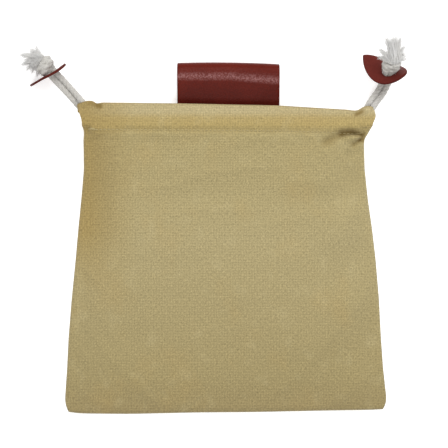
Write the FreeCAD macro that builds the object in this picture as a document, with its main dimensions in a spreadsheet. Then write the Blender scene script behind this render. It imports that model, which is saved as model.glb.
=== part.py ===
import FreeCAD, Part
import math
import os

import Sketcher

# A flat, empty canvas drawstring pouch that hangs on a belt by a wide leather loop.
# Millimetres. The pouch lies on its back on a table: +Z is its front, +Y its mouth.
# The origin is on the table, under the middle of the bag and its belt loop.

Vector = FreeCAD.Vector
doc = FreeCAD.newDocument("drawstring_pouch")
sheet = doc.addObject("Spreadsheet::Sheet", "Sizes")

SIZES = [
    # canvas bag
    ("canvas", 0.9),                # cloth thickness
    ("layer_gap", 0.1),             # air between pieces that lie on each other
    ("side_slope", 26.0),           # width over which the front falls to each side seam
    ("foot_width", 3.5),            # edge of the front that is sewn to the back
    ("mouth_y", 108.0),
    ("mouth_half", 122.0),          # half width at the flared top corners
    # drawstring casings
    ("casing_height", 20.5),
    ("casing_thick", 6.2),
    ("casing_wall", 0.75),
    ("casing_end", 107.0),          # the tunnels stop short of the corners
    ("facing_end", 93.0),           # their facing walls stop shorter, for the cord's turn
    ("mouth_gap", 4.5),             # between the two casings
    ("back_lift", 9.8),             # back casing above the table, on the belt loop
    # seam allowances
    ("seam_width", 9.0),
    ("seam_inset", 11.0),
    ("seam_thick", 1.4),
    ("hem_strip_half", 98.0),
    ("hem_thick", 1.1),
    # thread
    ("stitch_length", 2.4),
    ("stitch_width", 0.6),
    ("stitch_thick", 0.35),
    ("stitch_pitch", 3.3),
    ("tack_length", 5.0),
    ("tack_width", 1.8),
    # leather belt loop
    ("strap_width", 84.0),
    ("strap_thick", 1.8),
    ("strap_low_y", 58.0),          # lower end, sewn to the back panel
    ("strap_flat_y", 75.0),         # the two legs lie together up to here
    ("strap_rise_y", 89.0),         # belt slot starts here
    ("strap_bend_y", 108.0),        # outer leg starts to rise to the roll
    ("strap_flap_z", 1.2),          # rear leg above the table, on its snap caps
    ("strap_leg_z", 5.0),           # top of the front leg where the legs meet
    ("strap_slot_z", 9.3),          # top of the front leg over the belt slot
    ("roll_y", 135.4),
    ("roll_radius", 7.6),
    ("flap_low_y", 56.0),
    ("flap_gap", 0.2),
    # snap fasteners
    ("snap_x", 24.0),
    ("snap_y", 66.0),
    ("snap_hole", 2.4),
    ("snap_head", 6.0),
    ("snap_shank", 2.3),
    ("snap_socket", 2.0),
    ("snap_ball", 1.6),
    ("snap_flange", 4.5),
    ("snap_flange_thick", 0.6),
    # cotton cords, two strands side by side
    ("cord", 4.5),
    ("strand_half", 2.4),           # half the distance between the two strands
    ("lane", 2.6),                  # lanes of the two cords above and below mid casing
    ("tail_end", 47.0),             # tails reach this far into the tunnels
    ("tail_gap", 0.3),
    ("turn_x", 102.3),              # far turn of each cord, front tunnel to back tunnel
    ("pivot_x", 109.6),             # where each pair of strands starts to swing
    # leather cord stops, knots and frayed ends
    ("stop_thick", 2.0),
    ("stop_half", 13.4),
    ("stop_tip", 27.0),             # from the hole to the pointed end
    ("stop_round", 0.7),            # from the hole to the middle of the round end
    ("stop_fillet", 0.6),
    ("stop_hole", 5.6),
    ("knot_radius", 7.6),
    ("knot_half", 6.5),
    ("tassel_root", 5.0),
    ("tassel_tip", 9.0),
    ("tassel_length", 17.0),
]

# Lines of the bag from its hem to its casing: height of the back, top of the front, half width.
STATIONS = [
    ("hem", -144.5, 0.0, 3.2, 130.5),
    ("corner", -134.5, 0.0, 6.0, 132.8),
    ("belly", -118.0, 0.0, 9.0, 131.7),
    ("middle", -51.0, 0.0, 11.2, 127.4),
    ("waist", 34.0, 0.0, 14.0, 118.8),
    ("foot", 53.0, 5.8, 18.0, 116.4),
    ("rise", 73.0, 5.8, 22.0, 115.0),
    ("neck", 87.5, 9.8, 26.7, 115.0),
]

for name, y, back, top, half in STATIONS:
    SIZES += [(name + "_y", y), (name + "_back", back), (name + "_top", top), (name + "_half", half)]

for row, (name, size) in enumerate(SIZES, start=1):
    sheet.set("A%d" % row, name)
    sheet.set("B%d" % row, str(size))
    sheet.setAlias("B%d" % row, name)
doc.recompute()


def size(expression):
    """Value of an expression whose words are names on the sheet, such as 'cord/2 + lane'."""
    return float(sheet.evalExpression(bound(expression)))


def bound(expression):
    """The same expression with each of the sheet's names written as Sizes.name."""
    word, out = "", ""
    for letter in expression + " ":
        if letter.isalnum() or letter == "_" or (letter == "." and word):
            word += letter
            continue
        out += "Sizes." + word if word and not word[0].isdigit() else word
        out += letter
        word = ""
    return out.strip()


def bind(thing, **expressions):
    for name, expression in expressions.items():
        thing.setExpression(name.replace("__", "."), bound(expression))


def fix_point(sketch, geometry, end, x, y):
    """Hold one end of a sketch edge at (x, y), each an expression."""
    for kind, axis, expression in (("DistanceX", -2, x), ("DistanceY", -1, y)):
        value = size(expression)
        if abs(value) < 1e-9:
            sketch.addConstraint(Sketcher.Constraint("PointOnObject", geometry, end, axis))
            continue
        held = sketch.addConstraint(Sketcher.Constraint(kind, -1, 1, geometry, end, value))
        sketch.setExpression("Constraints[%d]" % held, bound(expression))


def draw(sketch, path):
    """Closed outline through (x, y) points. A third and fourth entry make the edge that leaves
    the point an arc: the x of its centre, and +1 counter-clockwise or -1 clockwise."""
    count = len(path)
    spots = [Vector(size(point[0]), size(point[1]), 0) for point in path]
    ends = []
    for k, point in enumerate(path):
        here, there = spots[k], spots[(k + 1) % count]
        if len(point) == 2:
            ends.append((sketch.addGeometry(Part.LineSegment(here, there)), 1, 2))
            continue
        cx = size(point[2])
        rise = (here.x - cx) ** 2 - (there.x - cx) ** 2 + here.y**2 - there.y**2
        centre = Vector(cx, rise / (2 * (here.y - there.y)), 0)
        first, last = (here, there) if point[3] > 0 else (there, here)
        angles = [math.atan2(p.y - centre.y, p.x - centre.x) for p in (first, last)]
        circle = Part.Circle(centre, Vector(0, 0, 1), (here - centre).Length)
        edge = sketch.addGeometry(Part.ArcOfCircle(circle, angles[0], angles[1]))
        ends.append((edge, 1, 2) if point[3] > 0 else (edge, 2, 1))
        fix_centre = Sketcher.Constraint("DistanceX", -1, 1, edge, 3, cx)
        if abs(cx) > 1e-9:
            held = sketch.addConstraint(fix_centre)
            sketch.setExpression("Constraints[%d]" % held, bound(point[2]))
        else:
            sketch.addConstraint(Sketcher.Constraint("PointOnObject", edge, 3, -2))
    for k, point in enumerate(path):
        edge, start, end = ends[k]
        following, next_start, _ = ends[(k + 1) % count]
        sketch.addConstraint(Sketcher.Constraint("Coincident", edge, end, following, next_start))
        fix_point(sketch, edge, start, point[0], point[1])
    return sketch


def body_sketch(body, name, plane, path):
    """Outline on one of a body's own origin planes: XY, XZ or YZ."""
    sketch = body.newObject("Sketcher::SketchObject", name)
    base = [p for p in body.Origin.OriginFeatures if p.Role == plane + "_Plane"][0]
    sketch.AttachmentSupport = [(base, "")]
    sketch.MapMode = "FlatFace"
    return draw(sketch, path)


def pad(body, sketch, length, both_ways=False):
    feature = body.newObject("PartDesign::Pad", sketch.Name + "_pad")
    feature.Profile = sketch
    feature.Midplane = both_ways
    bind(feature, Length=length)
    doc.recompute()
    return feature


def section(name, station, path):
    """Outline in the upright plane across the bag at one of its stations."""
    sketch = doc.addObject("Sketcher::SketchObject", name + "_" + station)
    sketch.Placement = FreeCAD.Placement(Vector(), FreeCAD.Rotation(Vector(1, 0, 0), 90))
    bind(sketch, Placement__Base__y=station + "_y")
    return draw(sketch, path)


def loft(name, stations, outline):
    feature = doc.addObject("Part::Loft", name)
    feature.Sections = [section(name, station, outline(station)) for station in stations]
    feature.Solid = True
    feature.Ruled = True
    return feature


def extrude(name, path, z, height):
    """Flat plate with the outline given, its lower face at z."""
    outline = doc.addObject("Sketcher::SketchObject", name + "_outline")
    draw(outline, path)
    bind(outline, Placement__Base__z=z)
    plate = doc.addObject("Part::Extrusion", name)
    plate.Base = outline
    plate.Dir = Vector(0, 0, 1)
    plate.Solid = True
    bind(plate, LengthFwd=height)
    return plate


def box(name, low, high):
    """Block between two corners, each three expressions."""
    feature = doc.addObject("Part::Box", name)
    sides = {side: "(%s) - (%s)" % (high[k], low[k]) for k, side in enumerate(("Length", "Width", "Height"))}
    bind(feature, Placement__Base__x=low[0], Placement__Base__y=low[1], Placement__Base__z=low[2], **sides)
    return feature


def fuse(name, pieces):
    feature = doc.addObject("Part::MultiFuse", name)
    feature.Shapes = pieces
    return feature


def group(name, pieces):
    feature = doc.addObject("Part::Compound", name)
    feature.Links = pieces
    return feature


def cut(name, base, tools):
    feature = doc.addObject("Part::Cut", name)
    feature.Base = base
    feature.Tool = fuse(name + "_tools", tools) if len(tools) > 1 else tools[0]
    return feature


def cylinder(name, radius, x, y, low, high):
    feature = doc.addObject("Part::Cylinder", name)
    bind(feature, Radius=radius, Height="(%s) - (%s)" % (high, low))
    bind(feature, Placement__Base__x=x, Placement__Base__y=y, Placement__Base__z=low)
    return feature


nodes = {}


def node(name, feature):
    feature.Label = name
    nodes[name] = feature
    return feature


# ---- canvas panels: one sheet each, turned over at the top into a casing ----

FRONT_Z = "back_lift + casing_thick + mouth_gap"


def front_arch(station):
    """The front panel: a shallow arch whose feet stand on the back panel's edges."""
    half, top = station + "_half", station + "_top"
    foot = station + "_back + canvas + layer_gap"
    return [
        ("-" + half, foot),
        ("side_slope - " + half, top),
        (half + " - side_slope", top),
        (half, foot),
        (half + " - foot_width", foot),
        (half + " - side_slope - canvas", top + " - canvas"),
        ("side_slope + canvas - " + half, top + " - canvas"),
        ("foot_width - " + half, foot),
    ]


def back_strip(station):
    half, back = station + "_half", station + "_back"
    return [("-" + half, back), (half, back), (half, back + " + canvas"), ("-" + half, back + " + canvas")]


def panel(name, sheets, casing_z, flare_z, facing_low, facing_high):
    """Panel, flared top corners and the flat tunnel that the cords run in."""
    low_y = "mouth_y - casing_height"
    corners = [("-neck_half", low_y), ("neck_half", low_y), ("mouth_half", "mouth_y"), ("-mouth_half", "mouth_y")]
    flare = extrude(name + "_flare", corners, flare_z, "casing_wall")
    casing_top = "%s + casing_thick" % casing_z
    tunnel = box(name + "_tunnel", ("-casing_end", low_y, casing_z), ("casing_end", "mouth_y", casing_top))
    channel_low = ("-casing_end - 1", low_y + " + canvas", casing_z + " + casing_wall")
    channel_high = ("casing_end + 1", "mouth_y - canvas", casing_top + " - casing_wall")
    tools = [box(name + "_channel", channel_low, channel_high)]
    for side, low_x, high_x in (("left", "-casing_end - 1", "-facing_end"), ("right", "facing_end", "casing_end + 1")):
        low = (low_x, channel_low[1], facing_low)
        high = (high_x, channel_high[1], facing_high)
        tools.append(box("%s_%s_window" % (name, side), low, high))
    whole = fuse(name + "_whole", sheets + [flare, tunnel])
    return node(name, cut(name, whole, tools))


edge = [(station[0] + "_half", station[0] + "_y") for station in STATIONS[:5]]
back_low = extrude("back_low", edge + [("-" + x, y) for x, y in reversed(edge)], "0", "canvas")
back_high = loft("back_high", [station[0] for station in STATIONS[4:]], back_strip)
panel("back_panel", [back_low, back_high], "back_lift", "back_lift",
      "back_lift + casing_thick - 2*casing_wall", "back_lift + casing_thick + 1")
front = loft("front", [station[0] for station in STATIONS], front_arch)
panel("front_panel", [front], FRONT_Z, FRONT_Z + " + casing_thick - casing_wall",
      FRONT_Z + " - 1", FRONT_Z + " + 2*casing_wall")

# ---- seam allowances folded inside the bag ----


def seam_strip(sign):
    def outline(station):
        near = "%s*(%s_half - seam_inset)" % (sign, station)
        far = "%s*(%s_half - seam_inset - seam_width)" % (sign, station)
        low = station + "_back + canvas + layer_gap"
        return [(near, low), (far, low), (far, low + " + seam_thick"), (near, low + " + seam_thick")]
    return outline


for side, sign in (("left", "-1"), ("right", "1")):
    node(side + "_side_seam", loft(side + "_side_seam", ["belly", "middle", "waist", "foot", "rise"], seam_strip(sign)))

node("bottom_seam", box("bottom_seam",
                        ("-hem_strip_half", "hem_y + 1", "canvas + layer_gap"),
                        ("hem_strip_half", "hem_y + 1 + seam_width", "canvas + layer_gap + hem_thick")))

# ---- thread ----


def stitches(name, x, y, z, count, rows=1, row_pitch=None, mirrored=False):
    """A row of equal stitches from x towards +X, as a group of separate small solids."""
    body = doc.addObject("PartDesign::Body", name)
    body.AllowCompound = True
    wide = "(%s) + stitch_length" % x
    path = [(x, y), (wide, y), (wide, "(%s) + stitch_width" % y), (x, "(%s) + stitch_width" % y)]
    first = pad(body, body_sketch(body, name + "_outline", "XY", path), "stitch_thick")
    bind(body, Placement__Base__z=z)
    many = body.newObject("PartDesign::MultiTransform", name + "_many")
    many.Originals = [first]
    steps = []
    for axis, number, pitch in (("X_Axis", count, "stitch_pitch"), ("Y_Axis", rows, row_pitch)):
        if number == 1:
            continue
        step = body.newObject("PartDesign::LinearPattern", "%s_along_%s" % (name, axis[0]))
        step.Direction = ([a for a in body.Origin.OriginFeatures if a.Role == axis][0], [""])
        step.Occurrences = number
        bind(step, Length="(%s)*%d" % (pitch, number - 1))
        steps.append(step)
    if mirrored:
        flip = body.newObject("PartDesign::Mirrored", name + "_flip")
        flip.MirrorPlane = ([p for p in body.Origin.OriginFeatures if p.Role == "YZ_Plane"][0], [""])
        steps.append(flip)
    many.Transformations = steps
    body.Tip = many
    doc.recompute()
    return node(name, body)


STITCH_Y = "mouth_y - casing_height + canvas/2"
FRONT_FACE = FRONT_Z + " + casing_thick"
stitches("front_casing_stitches", "2 - casing_end", STITCH_Y, FRONT_FACE, 64)
stitches("back_casing_stitches", "strap_width/2 + 4", STITCH_Y, "back_lift - stitch_thick", 18, mirrored=True)
stitches("strap_stitches", "-35.8", "60", "foot_back + canvas", 22, rows=2, row_pitch="9.5")

tacks = []
for side, low_x in (("left", "-casing_end - tack_length"), ("right", "casing_end")):
    for face, low_z in (("front", FRONT_FACE), ("back", "back_lift - stitch_thick")):
        low = (low_x, STITCH_Y + " - stitch_width/2", low_z)
        high = ("(%s) + tack_length" % low_x, "(%s) + tack_width" % low[1], "(%s) + stitch_thick" % low_z)
        tacks.append(box("%s_%s_tack" % (side, face), low, high))
node("casing_end_tacks", group("casing_end_tacks", tacks))

# ---- leather belt loop: front leg and roll, rear leg, two snap fasteners ----

FLAP_TOP = "strap_flap_z + strap_thick"
ROLL_Z = "strap_flap_z + roll_radius"


def tangent_point(knee_y, knee_z, radius):
    """Where a line from the knee touches the top of the roll, as two numbers."""
    run = size("roll_y") - knee_y
    drop = size(ROLL_Z) - knee_z
    angle = math.atan2(drop, run) + math.asin(radius / math.hypot(run, drop))
    return size("roll_y") - radius * math.sin(angle), size(ROLL_Z) + radius * math.cos(angle), angle


outer_y, outer_z, rise = tangent_point(size("strap_bend_y"), size("strap_slot_z"), size("roll_radius"))
inner_radius = size("roll_radius - strap_thick")
inner_y = size("roll_y") - inner_radius * math.sin(rise)
inner_z = size(ROLL_Z) + inner_radius * math.cos(rise)
inner_knee_y = inner_y - (inner_z - size("strap_slot_z - strap_thick")) / math.tan(rise)

strap = doc.addObject("PartDesign::Body", "belt_strap")
profile = body_sketch(strap, "strap_profile", "YZ", [
    ("strap_low_y", "strap_leg_z - strap_thick"),
    ("strap_flat_y + strap_thick/3", "strap_leg_z - strap_thick"),
    ("strap_rise_y", "strap_slot_z - strap_thick"),
    ("%f" % inner_knee_y, "strap_slot_z - strap_thick"),
    ("%f" % inner_y, "%f" % inner_z, "roll_y", -1),
    ("roll_y", FLAP_TOP),
    ("roll_y", "strap_flap_z", "roll_y", 1),
    ("%f" % outer_y, "%f" % outer_z),
    ("strap_bend_y", "strap_slot_z"),
    ("strap_rise_y - strap_thick/3", "strap_slot_z"),
    ("strap_flat_y", "strap_leg_z"),
    ("strap_low_y", "strap_leg_z"),
])
pad(strap, profile, "strap_width", both_ways=True)


def snap_holes(name, leather, low, high):
    """The leather with a hole for each snap fastener."""
    tools = []
    for side, x in (("left", "-snap_x"), ("right", "snap_x")):
        tools.append(cylinder("%s_%s_hole" % (name, side), "snap_hole", x, "snap_y", low, high))
    return node(name, cut(name, leather, tools))


strap.Label = "strap_blank"
snap_holes("belt_loop_strap", strap, "strap_leg_z - strap_thick - 1", "strap_leg_z + 1")

flap = doc.addObject("PartDesign::Body", "belt_flap")
profile = body_sketch(flap, "flap_profile", "YZ", [
    ("flap_low_y", "strap_flap_z"),
    ("roll_y - flap_gap", "strap_flap_z"),
    ("roll_y - flap_gap", FLAP_TOP),
    ("flap_low_y", FLAP_TOP),
])
pad(flap, profile, "strap_width", both_ways=True)
flap.Label = "flap_blank"
snap_holes("belt_loop_flap", flap, "strap_flap_z - 1", FLAP_TOP + " + 1")

caps, studs = [], []
for side, x in (("left", "-snap_x"), ("right", "snap_x")):
    head = cylinder(side + "_cap_head", "snap_head", x, "snap_y", "0", "strap_flap_z")
    shank = cylinder(side + "_cap_shank", "snap_shank", x, "snap_y", "0", FLAP_TOP)
    socket = cylinder(side + "_cap_socket", "snap_socket", x, "snap_y", "strap_flap_z + 0.4", FLAP_TOP + " + 1")
    caps.append(cut(side + "_cap", fuse(side + "_cap_solid", [head, shank]), [socket]))
    flange = cylinder(side + "_stud_flange", "snap_flange", x, "snap_y",
                      "strap_leg_z", "strap_leg_z + snap_flange_thick")
    post = cylinder(side + "_stud_post", "snap_shank", x, "snap_y",
                    "strap_leg_z - strap_thick", "strap_leg_z + snap_flange_thick")
    ball = cylinder(side + "_stud_ball", "snap_ball", x, "snap_y", "strap_flap_z + 0.8", "strap_leg_z")
    studs.append(fuse(side + "_stud", [flange, post, ball]))
node("snap_caps", group("snap_caps", caps))
node("snap_studs", group("snap_studs", studs))

# ---- cotton cords ----

LANE_Y = size("mouth_y - casing_height/2")
FRONT_LANE_Z = size(FRONT_Z + " + casing_thick/2")
BACK_LANE_Z = size("back_lift + casing_thick/2")
ARC_SHARE = 0.45


def cord_path(points):
    """Straight runs through the points, joined by tangent arcs as large as the runs allow."""
    edges, start, radii = [], points[0], []
    for before, corner, after in zip(points, points[1:], points[2:]):
        back, ahead = (before - corner), (after - corner)
        setback = ARC_SHARE * min(back.Length, ahead.Length)
        back.normalize()
        ahead.normalize()
        half_turn = (math.pi - back.getAngle(ahead)) / 2
        radius = setback / math.tan(half_turn)
        inward = (back + ahead).normalize()
        enter, leave = corner + back * setback, corner + ahead * setback
        middle = corner + inward * (radius / math.cos(half_turn) - radius)
        edges += [Part.LineSegment(start, enter).toShape(), Part.Arc(enter, middle, leave).toShape()]
        start = leave
        radii.append(radius)
    edges.append(Part.LineSegment(start, points[-1]).toShape())
    return Part.Wire(edges), radii


def cord(name, points, round_start=False):
    """A round cord along its route. A round start lets it swing against the piece before it."""
    radius = size("cord/2")
    path, radii = cord_path(points)
    ring = Part.Wire([Part.Circle(points[0], points[1] - points[0], radius).toShape()])
    shape = path.makePipeShell([ring], True, False)
    expected = math.pi * radius**2 * path.Length
    print("%s: length %.1f mm, arc radii %s, volume %.1f of %.1f mm3"
          % (name, path.Length, " ".join("%.1f" % r for r in radii), shape.Volume, expected))
    if abs(shape.Volume - expected) > 0.01 * expected:
        raise ValueError(name + " does not follow its route")
    if round_start:
        dome = Part.makeSphere(radius, points[0], points[0] - points[1], 0, 90, 360)
        shape = shape.fuse(dome)
    feature = doc.addObject("Part::Feature", name)
    feature.Shape = shape
    return node(name, feature)


def held_cords(side, sign, lane_y):
    """One cord inside the casings: a bight round the far corner and two tails at its own side."""
    tail_end = sign * size("tail_end")
    join = tail_end - sign * size("tail_gap")
    turn_x = -sign * size("turn_x")
    bight = [(join, FRONT_LANE_Z), (turn_x, FRONT_LANE_Z), (turn_x, BACK_LANE_Z), (join, BACK_LANE_Z)]
    cord(side + "_drawstring_bight", [Vector(x, lane_y, z) for x, z in bight])
    outer = sign * size("casing_end")
    for face, z in (("front", FRONT_LANE_Z), ("back", BACK_LANE_Z)):
        cord("%s_%s_tail" % (side, face), [Vector(outer, lane_y, z), Vector(tail_end, lane_y, z)])


LEFT_LANE_Y = LANE_Y + size("lane")
RIGHT_LANE_Y = LANE_Y - size("lane")
held_cords("left", -1, LEFT_LANE_Y)
held_cords("right", 1, RIGHT_LANE_Y)


def direction(azimuth, elevation):
    a, e = math.radians(azimuth), math.radians(elevation)
    return Vector(math.cos(e) * math.cos(a), math.cos(e) * math.sin(a), math.sin(e))


class Pull:
    """One pair of strands outside the bag: where its stop sits and which way it points."""

    def __init__(self, side, pivot, stop, azimuth, elevation, face, leaf, mids, lead):
        self.side = side
        self.pivot = pivot
        self.stop = stop
        self.along = direction(azimuth, elevation)
        self.beside = Vector(stop.y - pivot.y, pivot.x - stop.x, 0).normalize()
        self.square = (self.beside - self.along * self.beside.dot(self.along)).normalize()
        self.face = face
        self.leaf = leaf
        self.mids = mids + [(1.0, self.at(-lead), 0.0)]

    def at(self, distance):
        return self.stop + self.along * distance

    def placed(self, offset, normal):
        """Placement with local z along the normal and local x along the leaf's length."""
        across = normal.cross(self.leaf).normalize()
        rotation = FreeCAD.Rotation(across.cross(normal), across, normal, "ZXY")
        return FreeCAD.Placement(self.at(offset), rotation)


STOP_TO_KNOT = size("stop_thick/2") + 0.5


def strands(pull):
    """Two strands that leave the tunnels one above the other and come to lie side by side."""
    for face, lane_z, sign in (("front", FRONT_LANE_Z, 1), ("back", BACK_LANE_Z, -1)):
        start = Vector(pull.pivot.x, pull.pivot.y, lane_z)
        points = [start]
        for share, middle, height_share in pull.mids:
            aside = pull.beside * (sign * share * size("strand_half"))
            spread = Vector(0, 0, (lane_z - pull.pivot.z) * height_share)
            points.append(middle + aside + spread)
        points.append(pull.at(STOP_TO_KNOT) + pull.square * (sign * size("strand_half")))
        cord("%s_%s_strand" % (pull.side, face), points, round_start=True)


def leaf_stop(pull):
    """Leaf-shaped leather disc with a pointed end and one round hole for both strands."""
    body = doc.addObject("PartDesign::Body", pull.side + "_stop")
    outline = body_sketch(body, pull.side + "_stop_outline", "XY", [
        ("-stop_tip", "0", "stop_round", -1),
        ("stop_round", "stop_half", "stop_round", -1),
        ("stop_round", "-stop_half", "stop_round", -1),
    ])
    blank = pad(body, outline, "stop_thick", both_ways=True)
    rounded = body.newObject("PartDesign::Fillet", pull.side + "_stop_edge")
    rounded.Base = (blank, [])
    rounded.UseAllEdges = True
    bind(rounded, Radius="stop_fillet")
    doc.recompute()
    ring = body.newObject("Sketcher::SketchObject", pull.side + "_stop_ring")
    base = [p for p in body.Origin.OriginFeatures if p.Role == "XY_Plane"][0]
    ring.AttachmentSupport = [(base, "")]
    ring.MapMode = "FlatFace"
    ring.addGeometry(Part.Circle(Vector(), Vector(0, 0, 1), size("stop_hole")))
    ring.addConstraint(Sketcher.Constraint("Coincident", 0, 3, -1, 1))
    ring.addConstraint(Sketcher.Constraint("Radius", 0, size("stop_hole")))
    ring.setExpression("Constraints[1]", bound("stop_hole"))
    pocket = body.newObject("PartDesign::Pocket", pull.side + "_stop_pocket")
    pocket.Profile = ring
    pocket.Type = "ThroughAll"
    pocket.Midplane = True
    doc.recompute()
    if not pocket.Shape.Volume < rounded.Shape.Volume:
        raise ValueError("the cord hole cuts nothing")
    body.Placement = pull.placed(0, pull.face)
    return node(pull.side + "_stop", body)


def knot_and_tassel(pull):
    knot = doc.addObject("Part::Ellipsoid", pull.side + "_knot")
    bind(knot, Radius1="knot_half", Radius2="knot_radius", Radius3="knot_radius")
    knot_at = STOP_TO_KNOT + size("knot_half + layer_gap")
    knot.Placement = pull.placed(knot_at, pull.along)
    node(pull.side + "_knot", knot)
    tassel = doc.addObject("Part::Cone", pull.side + "_tassel")
    bind(tassel, Radius1="tassel_root", Radius2="tassel_tip", Height="tassel_length")
    tassel.Placement = pull.placed(knot_at + size("knot_half + layer_gap"), pull.along)
    node(pull.side + "_tassel", tassel)


LANE_MID_Z = (FRONT_LANE_Z + BACK_LANE_Z) / 2
pulls = [
    Pull("left", Vector(-size("pivot_x"), LEFT_LANE_Y, LANE_MID_Z),
         stop=Vector(-141.8, 135.2, 18.9), azimuth=133.5, elevation=-1.0,
         face=direction(120.5, 9.9), leaf=direction(30.5, 38.0), lead=23.0,
         mids=[(1.0, Vector(-116.8, 107.6, 17.4), 0.55)]),
    Pull("right", Vector(size("pivot_x"), RIGHT_LANE_Y, LANE_MID_Z),
         stop=Vector(133.0, 135.8, 21.5), azimuth=78.0, elevation=52.0,
         face=direction(100.0, 46.0), leaf=direction(-26.5, 32.0), lead=11.0,
         mids=[(0.7, Vector(115.2, 103.0, 17.4), 0.55), (1.0, Vector(121.2, 112.6, 13.2), 0.0),
               (1.0, Vector(127.4, 120.4, 10.2), 0.0)]),
]
for pull in pulls:
    strands(pull)
    leaf_stop(pull)
    knot_and_tassel(pull)

# ---- check and write ----

doc.recompute()
for thing in doc.Objects:
    if "Invalid" in thing.State or "Error" in thing.State:
        raise RuntimeError("%s is %s" % (thing.Name, thing.State))
os.makedirs("parts", exist_ok=True)
for name, feature in nodes.items():
    shape = feature.Shape
    if shape.isNull() or not shape.isValid():
        raise RuntimeError(name + " has no valid shape")
    solids = len(shape.Solids)
    print("%-24s %2d solids %10.1f mm3" % (name, solids, shape.Volume))
    shape.exportStep("parts/%s.step" % name)
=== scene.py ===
import math
import random

import bpy
import numpy as np
from mathutils import Matrix, Vector


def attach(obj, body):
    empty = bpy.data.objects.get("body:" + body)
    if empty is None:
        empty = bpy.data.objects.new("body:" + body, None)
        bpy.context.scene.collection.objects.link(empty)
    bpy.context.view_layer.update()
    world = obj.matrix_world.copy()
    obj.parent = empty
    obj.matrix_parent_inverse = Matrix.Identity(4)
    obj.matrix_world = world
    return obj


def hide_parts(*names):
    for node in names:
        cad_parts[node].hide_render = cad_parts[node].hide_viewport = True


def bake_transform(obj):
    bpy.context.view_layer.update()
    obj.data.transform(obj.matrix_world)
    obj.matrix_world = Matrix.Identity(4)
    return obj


# Looks of the drawstring pouch: woven canvas, grained leather, twisted cotton cord, brass snaps.
# Sizes are in millimetres of the part's own frame, unless a comment says metres.

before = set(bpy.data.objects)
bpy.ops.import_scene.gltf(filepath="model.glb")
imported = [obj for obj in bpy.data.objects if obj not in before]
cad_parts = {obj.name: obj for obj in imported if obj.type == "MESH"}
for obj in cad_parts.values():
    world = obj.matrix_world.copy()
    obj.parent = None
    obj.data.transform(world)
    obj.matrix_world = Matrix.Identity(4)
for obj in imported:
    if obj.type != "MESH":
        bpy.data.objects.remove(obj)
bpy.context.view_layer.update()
scene = bpy.context.scene
MM = 0.001

# ---- small helpers


def metres(*point):
    return Vector(point) * MM


def smoothstep(low, high, value):
    share = np.clip((value - low) / (high - low), 0.0, 1.0)
    return share * share * (3.0 - 2.0 * share)


def direction(azimuth, elevation):
    a, e = math.radians(azimuth), math.radians(elevation)
    return Vector((math.cos(e) * math.cos(a), math.cos(e) * math.sin(a), math.sin(e)))


class Line:
    """Smooth curve through given (place, value) knots, and straight on past its ends."""

    STEP = 0.5

    def __init__(self, knots, blur):
        places, values = zip(*knots)
        self.places = np.arange(places[0] - 4 * blur, places[-1] + 4 * blur, self.STEP)
        sharp = np.interp(self.places, places, values)
        before, past = self.places - places[0], self.places - places[-1]
        first = (values[1] - values[0]) / (places[1] - places[0])
        last = (values[-1] - values[-2]) / (places[-1] - places[-2])
        sharp = np.where(before < 0, values[0] + first * before, sharp)
        sharp = np.where(past > 0, values[-1] + last * past, sharp)
        margin = max(1, round(6 * blur))
        weights = np.exp(-0.5 * (np.arange(-margin, margin + 1) * self.STEP / blur) ** 2)
        padded = np.pad(sharp, margin, mode="edge")
        self.values = np.convolve(padded, weights / weights.sum(), mode="valid")

    def __call__(self, place):
        return np.interp(place, self.places, self.values)


def add_object(name, data):
    made = bpy.data.objects.new(name, data)
    scene.collection.objects.link(made)
    return made


def make_mesh(name, points, faces, material, cloth_coords=None):
    """Smooth-shaded mesh object from points in millimetres."""
    mesh = bpy.data.meshes.new(name)
    mesh.from_pydata((np.asarray(points, float) * MM).tolist(), [], faces)
    mesh.polygons.foreach_set("use_smooth", np.ones(len(mesh.polygons), bool))
    if cloth_coords is not None:
        corners = np.zeros(len(mesh.loops), np.int32)
        mesh.loops.foreach_get("vertex_index", corners)
        layer = mesh.uv_layers.new(name="cloth")
        layer.data.foreach_set("uv", (np.asarray(cloth_coords, float) * MM)[corners].ravel())
    mesh.update()
    mesh.materials.append(material)
    return add_object(name, mesh)


def grid_faces(rows, columns, wrapped=False):
    faces = []
    for row in range(rows - 1):
        for column in range(columns if wrapped else columns - 1):
            here = row * columns + column
            beside = row * columns + (column + 1) % columns
            faces.append((here, beside, beside + columns, here + columns))
    return faces


def thicken(piece, thickness, bevel=None):
    """Give a sheet its real thickness, and round its edges."""
    solid = piece.modifiers.new("thickness", "SOLIDIFY")
    solid.thickness = thickness * MM
    solid.offset = 0.0
    if bevel:
        edge = piece.modifiers.new("edge", "BEVEL")
        edge.width = bevel * MM
        edge.segments = 2
        edge.limit_method = "ANGLE"
    return piece


def join_parts(parts):
    """Points and faces of several small meshes as one list of each."""
    points, faces = [], []
    for part_points, part_faces in parts:
        base = len(points)
        points += [tuple(p) for p in part_points]
        faces += [tuple(base + k for k in face) for face in part_faces]
    return points, faces


def frames(line):
    """Each point of a line with two directions square to it, which don't twist round the line."""
    line = [Vector(p) for p in line]
    tangents = [(b - a).normalized() for a, b in zip(line, line[1:])]
    tangents.append(tangents[-1])
    normal = tangents[0].orthogonal().normalized()
    made = []
    for centre, tangent in zip(line, tangents):
        normal = (normal - tangent * normal.dot(tangent)).normalized()
        made.append((centre, normal, tangent.cross(normal)))
    return made


def tube(line, radii, sides):
    """Points and faces of a closed round tube, with a radius for each point of its line."""
    points = []
    for (centre, normal, other), radius in zip(frames(line), radii):
        for side in range(sides):
            angle = 2 * math.pi * side / sides
            points.append(centre + (normal * math.cos(angle) + other * math.sin(angle)) * radius)
    faces = grid_faces(len(line), sides, wrapped=True)
    faces.append(tuple(reversed(range(sides))))
    faces.append(tuple(range(len(points) - sides, len(points))))
    return points, faces


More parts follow.
